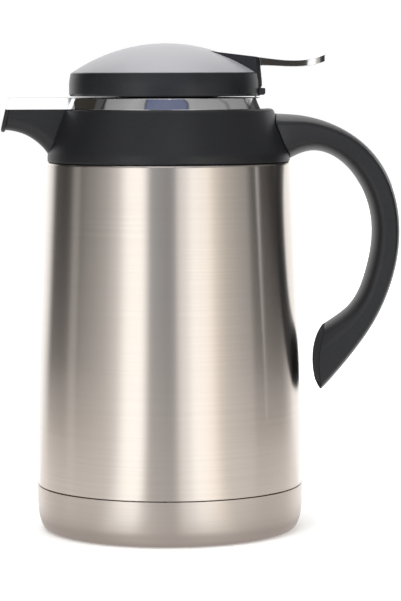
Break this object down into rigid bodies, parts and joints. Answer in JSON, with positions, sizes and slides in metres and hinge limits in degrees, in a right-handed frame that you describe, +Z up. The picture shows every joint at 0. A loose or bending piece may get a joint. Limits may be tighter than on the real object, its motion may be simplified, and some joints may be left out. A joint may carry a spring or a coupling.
{
  "type": "thermal carafe with flip lid",
  "caption": "Double-walled steel vacuum carafe with a pouring spout, a C handle and a hinged lid that a thumb lever opens.",
  "frame": {"origin": "centre of the foot pad's underside, on the axis of the steel body", "axes": "+Z up along the body's axis, -X towards the spout, +X towards the handle and hinge, +Y across"},
  "size_m": [0.1982, 0.1326, 0.2415],
  "materials": {
    "brushed_steel": "fine circumferential brushed grain",
    "satin_steel": "satin",
    "collar_black": "fine-textured matte",
    "grip_black": "satin",
    "lid_black": "satin",
    "dome_grey": "satin metallic grey",
    "chrome": "mirror polished",
    "pin_steel": "ground",
    "silicone": "matte",
    "foot_rubber": "matte",
    "foam": "porous"
  },
  "bodies": {
    "jug": {"outer_shell": "brushed_steel", "base_cap": "brushed_steel", "inner_bottle": "satin_steel", "vacuum_base": "satin_steel", "vacuum_seal": "satin_steel", "getter": "satin_steel", "foot_pad": "foot_rubber", "neck_gasket": "silicone", "collar": "collar_black", "pour_ring": "chrome", "handle": "grip_black", "handle_screws": "pin_steel", "hinge_pin": "pin_steel"},
    "lid": {"lid_skirt": "lid_black", "lid_dome": "dome_grey", "lever_housing": "lid_black", "thumb_lever": "chrome", "lever_screws": "pin_steel", "lid_liner": "lid_black", "liner_screws": "pin_steel", "stopper_body": "lid_black", "stopper_seal": "silicone", "stopper_cap": "lid_black", "stopper_foam": "foam", "stopper_screw": "pin_steel", "hinge_spring": "pin_steel"}
  },
  "joints": [
    {"name": "lid_hinge", "type": "hinge", "parent": "jug", "child": "lid", "pos_m": [0.0449, 0, 0.21775], "axis": [0, 1, 0], "range_deg": [0, 45], "stiffness_Nm_per_rad": 0.08, "springref_deg": -34.38, "deforming": ["hinge_spring"]}
  ]
}
